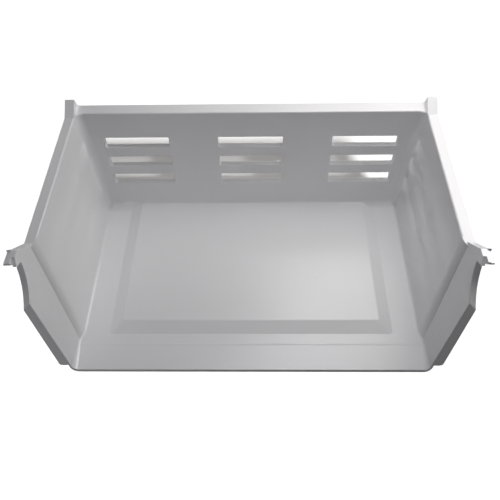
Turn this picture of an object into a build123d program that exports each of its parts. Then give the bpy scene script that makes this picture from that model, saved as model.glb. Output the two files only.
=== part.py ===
from math import radians, tan
import os

from build123d import *

# Overall sizes of the moulding, in millimetres. X runs across, -Y is the open front, Z is up.
rail_width = 450.0
depth = 278.0
height = 167.2
wall = 2.5
draft = 3.4

# Rails along the sides and the flange along the back, measured outward from the wall's inner face.
rail_reach = 11.4
back_reach = 15.5
rail_edge_radius = 2.0

# Floor.
floor_level = 6.0
corner_radius = 10.0
floor_radius = 3.5
back_radius = 12.0
web_radius = 7.5
web_sink = 0.2
panel_rise = 7.0
panel_border = 15.5
panel_side = 31.8
panel_front = 14.3
panel_corner = 8.0
panel_edge = 4.0
runner_width = 3.0
runner_inset = 16.0
gate_x = 85.5
gate_y = -13.2
gate_radius = 1.8
gate_rise = 0.3

# Lip ahead of the floor, with its front edge turned down to the base plane.
lip_depth = 32.3
lip_drop = 1.0
lip_radius = 9.0
bead_width = 1.4
bead_rise = 0.3

# Front strips: the side walls step outward towards the front.
recess = 3.5
step_run = 11.0
step_set = 7.2
step_lean = 6.7
front_lean = 3.75

# Front flanges and the notch above them.
flange_reach = 13.0
flange_foot = 9.5
flange_foot_radius = 4.0
notch_fall = 11.8
notch_corner_drop = 27.0
notch_tip_rise = 8.4
notch_tip_set = 24.0
notch_radius = 59.0

# Ears above the rails, each with a lug at its front and a barb on its outer edge.
ear_heel = 4.4
ear_rise = 20.8
ear_ramp = 19.0
ear_top = 8.4
ear_reach = 8.2
ear_wall = 3.5
ear_nose = 5.6
ear_chin = 7.7
lug_reach = 10.0
lug_front = 7.0
lug_drop = 1.2
lug_face = 3.2
lug_chin = 2.2
barb_set = 6.3
barb_reach = 10.8
barb_rise = 0.5
barb_run = 5.0

# Stop teeth at the rear of the rails.
tooth_length = 23.4
tooth_rise = 12.5
tooth_back = 4.7
tooth_radius = 3.0

# Slots in the back wall, each with a collar behind it.
slot_width = 83.3
slot_height = 16.5
slot_pitch_x = 145.9
slot_pitch_z = 30.7
slot_middle = 85.2
slot_depth = 8.0
slot_collar = 2.0
slot_radius = 1.6

# Sizes that follow from the ones above.
lean = tan(radians(draft))
step_slope = tan(radians(step_lean))
front_slope = tan(radians(front_lean))
rail_half = rail_width / 2
tub_height = height - floor_level
floor_half = rail_half - rail_reach - tub_height * lean
strip_half = floor_half + recess
underside = floor_level - wall
front = -depth / 2
back = depth / 2 - back_reach - tub_height * lean
crease = front + lip_depth
ahead = crease - 2 * lip_depth
step_foot = crease + step_set
ear_back = step_foot + tub_height * step_slope
ear_crest = ear_back - ear_ramp
ear_front = ear_crest - ear_top
ear_level = tub_height + ear_rise
panel_half = floor_half - panel_side
panel_foot = crease + panel_front
tooth_half = rail_half - rail_reach
clear_edge = floor_half - 2 * floor_radius
bend_start = (floor_half, step_foot + step_run)
bend_end = (strip_half, step_foot)

# Planes the sketches lie on. On strip_plane the second axis is the height above the floor.
floor_plane = Plane.XY.offset(floor_level)
under_plane = Plane.XY.offset(underside)
rail_plane = Plane.XY.offset(height)
strip_plane = Plane((strip_half, 0, floor_level), x_dir=(0, 1, 0), z_dir=(1, 0, -lean))
front_plane = Plane((0, front, 0), x_dir=(1, 0, 0), z_dir=(0, -1, front_slope))
back_plane = Plane((0, back, floor_level), x_dir=(1, 0, 0), z_dir=(0, -1, lean))
right_plane = Plane((floor_half, 0, floor_level), x_dir=(0, 1, 0), z_dir=(-1, 0, lean))
left_plane = Plane((-floor_half, 0, floor_level), x_dir=(0, 1, 0), z_dir=(1, 0, lean))

# Corner and tip of the notch, and the direction in which its rim runs outward and down.
notch_height = tub_height - notch_corner_drop
notch_inner = strip_half + notch_height * lean
notch_corner = (front + (floor_level + notch_height) * front_slope, notch_height)
notch_tip = (ear_back - notch_tip_set, tub_height + notch_tip_rise)
notch_run = Vector(rail_half - notch_inner, -notch_fall * front_slope, -notch_fall)
strip_run = Vector(lean, step_slope, 1)

# Inside of the tub, which widens upward.
with BuildPart() as cavity:
    with BuildSketch(floor_plane):
        with Locations((0, (depth / 2 + ahead) / 2)):
            Rectangle(rail_width, depth / 2 - ahead)
    extrude(amount=tub_height + 2 * tooth_rise)
    for side in (left_plane, right_plane, back_plane):
        split(bisect_by=side, keep=Keep.TOP)
    fillet(edges().group_by(Axis.Z)[1].group_by(Axis.Y)[-1], corner_radius)
    floor_edges = faces().sort_by(Axis.Z)[0].edges()
    fillet(floor_edges.sort_by(Axis.Y)[1:], floor_radius)
    # Soft corner between floor and back wall.
    with BuildSketch(Plane.YZ):
        with BuildLine():
            bow = TangentArc(
                (back - back_radius, floor_level - web_sink),
                (back + back_radius * lean + web_sink, floor_level + back_radius),
                tangent=(1, 0),
            )
            Polyline(
                bow @ 1,
                (back + back_radius, floor_level + back_radius),
                (back + back_radius, floor_level - back_radius),
                (back - back_radius, floor_level - back_radius),
                bow @ 0,
            )
        make_face()
    extrude(amount=rail_width, both=True, mode=Mode.SUBTRACT)

# Space inside the right-hand front strip, ahead of the step in the wall.
with BuildPart() as right_clear:
    with BuildSketch(floor_plane):
        with BuildLine():
            bend = TangentArc(bend_start, bend_end, tangent=(0, -1))
            Polyline(
                bend @ 1,
                (strip_half, ahead),
                (clear_edge, ahead),
                (clear_edge, step_foot + step_run),
                bend @ 0,
            )
        make_face()
    extrude(amount=2 * tub_height, dir=strip_run)

# Space in front of the right-hand notch and under the ear.
with BuildPart() as right_notch:
    with BuildSketch(strip_plane):
        with BuildLine():
            hollow = RadiusArc(notch_corner, notch_tip, -notch_radius)
            Polyline(
                hollow @ 1,
                (notch_tip[0] - lip_depth, notch_tip[1] + lip_depth / 2),
                (notch_tip[0] - lip_depth, notch_corner[1]),
                hollow @ 0,
            )
        make_face()
    extrude(amount=3 * wall, dir=notch_run, both=True)

# Right-hand front: strip wall, ear, flange and rim round the notch.
with BuildPart() as right_front:
    with BuildSketch(floor_plane):
        with BuildLine():
            bend = TangentArc(bend_start, bend_end, tangent=(0, -1))
            Polyline(
                bend @ 1,
                (strip_half, ahead),
                (strip_half + wall, ahead),
                (strip_half + wall, step_foot),
                (floor_half + wall, step_foot + step_run),
                bend @ 0,
            )
        make_face()
    extrude(amount=tub_height * strip_run.length, dir=strip_run)
    # Floor under the strip, out to the step.
    with BuildSketch(under_plane):
        with BuildLine():
            Polyline(
                (clear_edge, crease),
                (strip_half + wall, crease),
                (strip_half + wall, step_foot),
                (floor_half + wall, step_foot + step_run),
                (clear_edge, step_foot + step_run),
                close=True,
            )
        make_face()
    extrude(amount=wall)
    # Ear plate, standing on the strip wall.
    with BuildSketch(strip_plane):
        with BuildLine():
            Polyline(
                (ear_back, tub_height - wall),
                (ear_back, tub_height + ear_heel),
                (ear_crest, ear_level),
                (ear_front, ear_level),
                (ear_front - ear_nose, ear_level - ear_chin),
                notch_tip,
                (ear_front - 2 * ear_nose, tub_height - wall),
                close=True,
            )
        make_face()
    extrude(amount=ear_wall)
    add(right_notch.part, mode=Mode.SUBTRACT)
    # Flange across the front edge of the strip, ending in a slope at the notch.
    with BuildSketch(front_plane):
        with BuildLine():
            Polyline(
                (strip_half + flange_foot * lean, floor_level + flange_foot),
                (notch_inner, floor_level + notch_height),
                (rail_half, floor_level + notch_height - notch_fall),
                (strip_half + flange_reach, floor_level + flange_foot),
                close=True,
            )
        make_face()
        fillet(vertices().group_by(Axis.Y)[0].sort_by(Axis.X)[-1], flange_foot_radius)
    extrude(amount=-wall)
    # Rim that follows the notch.
    with BuildSketch(strip_plane):
        with BuildLine():
            hollow = RadiusArc(notch_corner, notch_tip, -notch_radius)
            rim_tip = (notch_tip[0] + wall, notch_tip[1])
            rim_corner = (notch_corner[0] + wall, notch_corner[1] - wall)
            Line(hollow @ 1, rim_tip)
            RadiusArc(rim_tip, rim_corner, notch_radius + wall)
            Line(rim_corner, hollow @ 0)
        make_face()
    extrude(amount=notch_run.length, dir=notch_run)
    split(bisect_by=Plane.YZ.offset(rail_half), keep=Keep.BOTTOM)
    # Rim along the top of the ear, running down to the rail.
    with BuildSketch(strip_plane):
        with BuildLine():
            ramp_lead = ear_heel * ear_ramp / (ear_rise - ear_heel)
            Polyline(
                (ear_back + ramp_lead, tub_height),
                (ear_crest, ear_level),
                (ear_front, ear_level),
                (ear_front, ear_level - wall),
                (ear_crest - wall / 2, ear_level - wall),
                (ear_back + ramp_lead - wall, tub_height - wall),
                (ear_back + ramp_lead, tub_height - wall),
                close=True,
            )
        make_face()
    extrude(amount=ear_reach)
    # Lug at the ear's front.
    with BuildSketch(strip_plane.offset(ear_wall)):
        with BuildLine():
            Polyline(
                (ear_crest, ear_level),
                (ear_front - lug_front, ear_level),
                (ear_front - lug_front, ear_level - lug_face),
                (ear_front - lug_front + lug_chin, ear_level - lug_face - lug_chin),
                notch_tip,
                (ear_crest, notch_tip[1]),
                close=True,
            )
        make_face()
    extrude(amount=lug_reach - ear_wall)
    # Lower step along the lug's outer half, in front of the barb.
    with BuildSketch(strip_plane.offset(barb_set)):
        with BuildLine():
            Polyline(
                (ear_crest, ear_level - lug_drop),
                (ear_crest, ear_level + lug_drop),
                (ear_front - 2 * lug_front, ear_level + lug_drop),
                (ear_front - 2 * lug_front, ear_level - lug_drop),
                close=True,
            )
        make_face()
    extrude(amount=lug_reach, mode=Mode.SUBTRACT)
    # Barb where the ramp ends.
    with BuildSketch(strip_plane.offset(barb_set)):
        with BuildLine():
            Polyline(
                (ear_crest, ear_level - wall),
                (ear_crest, ear_level + barb_rise),
                (ear_crest + barb_run, ear_level - barb_run),
                (ear_crest + barb_run, ear_level - barb_run - wall),
                close=True,
            )
        make_face()
    extrude(amount=barb_reach - barb_set)

# Right-hand stop tooth, with a hollow foot towards the back flange.
with BuildPart() as right_tooth:
    with BuildSketch(Plane.YZ.offset(tooth_half - tooth_radius)):
        with BuildLine():
            Polyline(
                (depth / 2 - tooth_length, height),
                (depth / 2 - tooth_back, height + tooth_rise),
                (depth / 2, height),
                (depth / 2, height - wall),
                (depth / 2 - tooth_length, height - wall),
                close=True,
            )
        make_face()
    extrude(amount=rail_reach + tooth_radius)
    with BuildSketch(Plane.XZ.offset(-depth)):
        with BuildLine():
            root = RadiusArc(
                (tooth_half - tooth_radius, height),
                (tooth_half, height + tooth_radius),
                -tooth_radius,
            )
            Polyline(
                root @ 1,
                (tooth_half, height + 2 * tooth_rise),
                (tooth_half - 2 * tooth_radius, height + 2 * tooth_rise),
                (tooth_half - 2 * tooth_radius, height),
                root @ 0,
            )
        make_face()
    extrude(amount=2 * depth, mode=Mode.SUBTRACT)

# Rounded corner between the right-hand strip and the floor, wider on the lip.
with BuildPart() as right_web:
    for place, edge, radius, level in (
        (step_foot + step_run + wall, floor_half, floor_radius, floor_level),
        (step_foot + step_run, floor_half, floor_radius, floor_level),
        (step_foot, strip_half, floor_radius, floor_level),
        (crease, strip_half, floor_radius, floor_level),
        (front, strip_half, web_radius, floor_level - lip_drop),
    ):
        with BuildSketch(Plane.XZ.offset(-place)):
            with BuildLine():
                web = TangentArc(
                    (edge - radius, level - web_sink),
                    (edge + radius * lean + web_sink, level + radius),
                    tangent=(1, 0),
                )
                Polyline(
                    web @ 1,
                    (edge + wall / 2, level + radius),
                    (edge + wall / 2, level - wall / 2),
                    (edge - radius, level - wall / 2),
                    web @ 0,
                )
            make_face()
    loft(ruled=True)

# Right-hand runner under the floor, level with the lip's lower edge.
with BuildPart() as right_runner:
    with BuildSketch(Plane.XY):
        with Locations((floor_half - runner_inset, (front + wall + back - back_radius) / 2)):
            Rectangle(runner_width, back - back_radius - front - wall)
    extrude(amount=floor_level - wall / 2)

# Rounding under the right-hand end of the lip.
with BuildPart() as right_round:
    with BuildSketch(Plane.XZ.offset(-crease)):
        with BuildLine():
            edge = strip_half + wall
            curve = RadiusArc((edge - lip_radius, 0), (edge, lip_radius), -lip_radius)
            Polyline(
                curve @ 1,
                (edge + wall, lip_radius),
                (edge + wall, -wall),
                (edge - lip_radius, -wall),
                curve @ 0,
            )
        make_face()
    extrude(amount=2 * lip_depth)

# Raised panel of the floor, with soft edges.
with BuildPart() as panel:
    panel_end = back + wall / 2
    for rise, border in ((0, 0), (panel_rise, panel_border)):
        with BuildSketch(floor_plane.offset(rise)):
            with Locations((0, (panel_foot + border + panel_end) / 2)):
                Rectangle(2 * (panel_half - border), panel_end - panel_foot - border)
    loft()
    fillet(edges().group_by(Axis.Z)[1].group_by(Axis.Y)[0], panel_corner)
    top_edges = faces().sort_by(Axis.Z)[-1].edges()
    fillet(top_edges.sort_by(Axis.Y)[:-1], panel_edge)

# Hollow under the panel.
with BuildPart() as panel_hollow:
    hollow_end = back - back_radius
    for rise, border in ((-wall, 0), (panel_rise - wall, panel_border)):
        with BuildSketch(floor_plane.offset(rise)):
            with Locations((0, (panel_foot + border + hollow_end) / 2)):
                Rectangle(2 * (panel_half - border), hollow_end - panel_foot - border)
    loft()

with BuildPart() as drawer_tub:
    # Walls and floor before the inside is taken out.
    with BuildSketch(under_plane):
        with Locations((0, (depth / 2 + crease) / 2)):
            Rectangle(rail_width, depth / 2 - crease)
    extrude(amount=height - underside)
    for side in (left_plane, right_plane, back_plane):
        split(bisect_by=side.offset(-wall), keep=Keep.TOP)
    fillet(edges().group_by(Axis.Z)[1].group_by(Axis.Y)[-1], corner_radius + wall)
    under_edges = faces().sort_by(Axis.Z)[0].edges()
    fillet(under_edges.sort_by(Axis.Y)[1:], floor_radius + wall)
    # Rails and back flange.
    with BuildSketch(rail_plane):
        with Locations((0, (ear_back + depth / 2) / 2)):
            Rectangle(rail_width, depth / 2 - ear_back)
    extrude(amount=-wall)
    add(cavity.part, mode=Mode.SUBTRACT)
    rim_edges = faces().sort_by(Axis.Z)[-1].edges()
    rim_edges = rim_edges.filter_by_position(Axis.X, -tooth_half - wall / 4, tooth_half + wall / 4)
    rim_edges = rim_edges.filter_by_position(Axis.Y, ahead, depth / 2 - wall)
    fillet(rim_edges, rail_edge_radius)
    # Stop teeth, trimmed to the inside.
    add(right_tooth.part)
    mirror(right_tooth.part, about=Plane.YZ)
    add(cavity.part, mode=Mode.SUBTRACT)
    # Raised panel in the floor, hollow underneath, with the gate mark of the moulding.
    add(panel.part)
    add(panel_hollow.part, mode=Mode.SUBTRACT)
    with Locations((gate_x, gate_y, floor_level + panel_rise)):
        Cone(gate_radius, gate_radius / 2, gate_rise, align=(Align.CENTER, Align.CENTER, Align.MIN))
    # Front strips and ears.
    add(right_clear.part, mode=Mode.SUBTRACT)
    mirror(right_clear.part, about=Plane.YZ, mode=Mode.SUBTRACT)
    with BuildSketch(Plane.YZ.offset(-strip_half - wall)):
        with BuildLine():
            Polyline(
                (crease + bead_width / 2, floor_level),
                (crease, floor_level + bead_rise),
                (crease - bead_width / 2, floor_level),
                (ahead, floor_level - lip_drop * (crease - ahead) / lip_depth),
                (ahead, 0),
                (front + wall, 0),
                (front + wall, underside - lip_drop),
                (crease + bead_width / 2, underside),
                close=True,
            )
        make_face()
    extrude(amount=2 * (strip_half + wall))
    add(right_front.part)
    mirror(right_front.part, about=Plane.YZ)
    add(right_web.part)
    mirror(right_web.part, about=Plane.YZ)
    add(right_round.part, mode=Mode.SUBTRACT)
    mirror(right_round.part, about=Plane.YZ, mode=Mode.SUBTRACT)
    add(right_runner.part)
    mirror(right_runner.part, about=Plane.YZ)
    split(bisect_by=front_plane, keep=Keep.BOTTOM)
    # Slots through the back wall.
    with BuildSketch(back_plane.offset(-wall / 2)):
        with Locations((0, slot_middle)):
            with GridLocations(slot_pitch_x, slot_pitch_z, 3, 3):
                RectangleRounded(
                    slot_width + 2 * slot_collar,
                    slot_height + 2 * slot_collar,
                    slot_radius + slot_collar,
                )
    extrude(amount=wall / 2 - slot_depth)
    with BuildSketch(back_plane):
        with Locations((0, slot_middle)):
            with GridLocations(slot_pitch_x, slot_pitch_z, 3, 3):
                RectangleRounded(slot_width, slot_height, slot_radius)
    extrude(amount=2 * slot_depth, both=True, mode=Mode.SUBTRACT)

drawer_tub.part.label = "drawer_tub"
os.makedirs("parts", exist_ok=True)
export_step(drawer_tub.part, "parts/drawer_tub.step")
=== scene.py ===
from math import radians

import bpy
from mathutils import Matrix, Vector

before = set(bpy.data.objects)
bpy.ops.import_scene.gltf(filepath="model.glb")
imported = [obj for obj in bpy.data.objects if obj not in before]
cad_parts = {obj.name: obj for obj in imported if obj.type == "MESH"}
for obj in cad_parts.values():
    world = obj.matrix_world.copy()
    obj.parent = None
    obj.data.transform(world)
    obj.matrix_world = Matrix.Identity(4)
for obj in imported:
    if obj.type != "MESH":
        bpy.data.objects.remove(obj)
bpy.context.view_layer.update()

scene = bpy.context.scene
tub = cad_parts["drawer_tub"]

# Lengths are in metres, lamp power in watts and angles in degrees.
tub_middle = (0, 0, 0.1)
floor_width = 8
backdrop_radius = 5.5
soft_edge = 0.0006
grain_depth = 0.0004
# Below about 0.275 the denoised render shows patches where the roughness varies.
roughness_low = 0.277
roughness_high = 0.305
low_lamp_height = 0.1
camera_place = (0.01453, -0.40605, 0.59993)
camera_turn = (36.5796, 1.1244, 0.6204)
camera_lens = 39.314
camera_sensor = 36.0


def material(name):
    """A new material with its nodes, links and shader."""
    made = bpy.data.materials.new(name)
    made.use_nodes = True
    nodes = made.node_tree.nodes
    return made, nodes, made.node_tree.links, nodes["Principled BSDF"]


def noise(nodes, links, scale, detail=2.0, space="Object"):
    """Noise over the piece's own coordinates."""
    where = nodes.new("ShaderNodeTexCoord")
    made = nodes.new("ShaderNodeTexNoise")
    made.inputs["Scale"].default_value = scale
    made.inputs["Detail"].default_value = detail
    links.new(where.outputs[space], made.inputs["Vector"])
    return made.outputs["Fac"]


def tones(nodes, links, value, low, high, start=0.0, end=1.0):
    """Colours that run from low to high as the value goes from start to end."""
    ramp = nodes.new("ShaderNodeValToRGB")
    for element, position, colour in zip(ramp.color_ramp.elements, (start, end), (low, high)):
        element.position = position
        element.color = (*colour, 1)
    links.new(value, ramp.inputs["Fac"])
    return ramp.outputs["Color"]


def tub_plastic():
    """Pale grey satin plastic: faint clouds of the moulding, uneven gloss, fine grain and soft edges."""
    plastic, nodes, links, shader = material("tub_plastic")
    shader.inputs["IOR"].default_value = 1.5

    cloud = noise(nodes, links, scale=9.0)
    tint = tones(nodes, links, cloud, (0.813, 0.815, 0.822), (0.822, 0.823, 0.826), start=0.3, end=0.7)
    links.new(tint, shader.inputs["Base Color"])

    gloss = nodes.new("ShaderNodeMapRange")
    gloss.inputs["To Min"].default_value = roughness_low
    gloss.inputs["To Max"].default_value = roughness_high
    links.new(noise(nodes, links, scale=40.0, detail=3.0), gloss.inputs["Value"])
    links.new(gloss.outputs["Result"], shader.inputs["Roughness"])

    edge = nodes.new("ShaderNodeBevel")
    edge.samples = 4
    edge.inputs["Radius"].default_value = soft_edge
    bump = nodes.new("ShaderNodeBump")
    bump.inputs["Strength"].default_value = 0.02
    bump.inputs["Distance"].default_value = grain_depth
    links.new(noise(nodes, links, scale=900.0), bump.inputs["Height"])
    links.new(edge.outputs["Normal"], bump.inputs["Normal"])
    links.new(bump.outputs["Normal"], shader.inputs["Normal"])
    return plastic


def paper():
    """Pale paper of the floor, with a faint glow that lifts its shadows."""
    made, nodes, links, shader = material("paper")
    shader.inputs["Roughness"].default_value = 0.9
    shader.inputs["Specular IOR Level"].default_value = 0.1
    shader.inputs["Emission Color"].default_value = (1, 0.97, 0.93, 1)
    shader.inputs["Emission Strength"].default_value = 0.2
    fibre = noise(nodes, links, scale=60.0)
    links.new(tones(nodes, links, fibre, (0.86, 0.86, 0.86), (0.9, 0.9, 0.9)), shader.inputs["Base Color"])
    return made


def card():
    """Pale glowing card of the backdrop."""
    made, nodes, links, shader = material("card")
    shader.inputs["Roughness"].default_value = 0.9
    shader.inputs["Emission Strength"].default_value = 0.9
    mottle = noise(nodes, links, scale=2.0, space="Generated")
    pale = tones(nodes, links, mottle, (0.9, 0.9, 0.91), (0.96, 0.96, 0.96))
    links.new(pale, shader.inputs["Base Color"])
    links.new(pale, shader.inputs["Emission Color"])
    return made


def stage_piece(name, surface):
    """The mesh made last, as a piece of the stage that throws no light back at the tub."""
    piece = bpy.context.object
    piece.name = name
    piece.visible_diffuse = False
    piece.visible_glossy = False
    piece.data.materials.append(surface)
    return piece


def floor_group(name):
    """A collection that tells a lamp about the floor."""
    group = bpy.data.collections.new(name)
    group.objects.link(floor)
    return group


def aimed(name, data, place, aim):
    """A lamp at a place, turned to its aim."""
    lamp = bpy.data.objects.new(name, data)
    lamp.location = place
    lamp.rotation_euler = (Vector(aim) - Vector(place)).to_track_quat("-Z", "Y").to_euler()
    scene.collection.objects.link(lamp)
    return lamp


def softbox(name, place, aim, wide, high, power, colour=(1.0, 1.0, 1.0)):
    """A soft rectangular lamp that lights all but the floor."""
    data = bpy.data.lights.new(name, "AREA")
    data.shape = "RECTANGLE"
    data.size = wide
    data.size_y = high
    data.energy = power
    data.color = colour
    lamp = aimed(name, data, place, aim)
    lamp.light_linking.receiver_collection = floor_spared
    return lamp


# Tub
tub.data.materials.clear()
tub.data.materials.append(tub_plastic())

# Pale floor, and a pale backdrop for the views that look past it
bpy.ops.mesh.primitive_plane_add(size=floor_width, location=(0, 0, 0))
floor = stage_piece("floor", paper())
bpy.ops.mesh.primitive_uv_sphere_add(segments=48, ring_count=24, radius=backdrop_radius, location=(0, 0, 0))
backdrop = stage_piece("backdrop", card())
backdrop.visible_shadow = False

# One lamp lights the floor alone, and the others spare it
floor_only = floor_group("floor_only")
floor_spared = floor_group("floor_spared")
floor_spared.collection_objects[0].light_linking.link_state = "EXCLUDE"

sweep_data = bpy.data.lights.new("sweep", "SUN")
sweep_data.energy = 4.0
sweep_data.angle = radians(8)
sweep = aimed("sweep", sweep_data, (0.6, -1.0, 1.4), (0, 0, 0))
sweep.light_linking.receiver_collection = floor_only

# Lamps for the inside and the front
softbox("key", (0.25, 0.2, 0.5), (0.125, 0.1, 0.05), 0.3, 0.3, 1.03, (1.0, 0.98, 0.94))
softbox("ceiling", (0.1, 0.1, 0.8), (0.05, 0.05, 0.05), 0.3, 0.3, 1.55, (0.95, 0.95, 1.0))
softbox("right", (0.5, 0.1, 0.42), (0.2, 0.05, 0.12), 0.25, 0.15, 0.37, (1.0, 0.95, 0.95))
softbox("left", (-0.9, 0.0, 0.4), tub_middle, 1.0, 0.5, 0.62, (0.98, 0.96, 1.0))
softbox("front", (0, -1.2, 0.3), tub_middle, 1.5, 0.4, 1.8, (0.98, 0.97, 1.0))
softbox("fill_left", (-0.3, -0.42, 0.08), (-0.2, -0.1, 0.08), 0.1, 0.1, 0.1, (0.98, 0.97, 1.0))
softbox("fill_right", (0.3, -0.42, 0.08), (0.2, -0.1, 0.08), 0.1, 0.1, 0.03, (1.0, 0.97, 0.95))

# Lamps behind: one for the sills of the slots, and low ones for the outer walls, below the rim
softbox("back", (0, 1.1, 0.5), (0, 0.14, 0.1), 1.2, 0.3, 1.6, (1.0, 0.98, 0.98))
softbox("low_back", (0, 1.2, low_lamp_height), tub_middle, 0.3, 0.1, 4.0)
for name, side in (("low_left", -1), ("low_right", 1)):
    softbox(name, (side * 1.2, 0.5, low_lamp_height), tub_middle, 0.3, 0.1, 3.5)

# Windows that are seen only as gloss on the plastic
windows = [
    softbox("window", (1.467, 1.231, 1.707), tub_middle, 0.72, 0.64, 24.0, (0.94, 0.93, 1.0)),
    softbox("lamp", (0.267, 1.372, 2.173), tub_middle, 0.32, 0.32, 3.8, (1.0, 0.96, 1.0)),
    softbox("skylight", (0.714, -0.666, 2.401), tub_middle, 1.28, 1.28, 5.3, (0.95, 1.0, 0.98)),
]
for window in windows:
    window.visible_diffuse = False

# Faint light from all round
world = bpy.data.worlds.new("studio")
world.use_nodes = True
sky = world.node_tree.nodes["Background"]
sky.inputs["Color"].default_value = (0.95, 0.97, 1.0, 1)
sky.inputs["Strength"].default_value = 0.01
scene.world = world

# Camera at the photograph's place
lens = bpy.data.cameras.new("camera")
lens.lens = camera_lens
lens.sensor_width = camera_sensor
lens.dof.use_dof = False
camera = bpy.data.objects.new("camera", lens)
camera.location = camera_place
camera.rotation_euler = [radians(angle) for angle in camera_turn]
scene.collection.objects.link(camera)
scene.camera = camera

scene.view_settings.view_transform = "Standard"
scene.view_settings.look = "None"
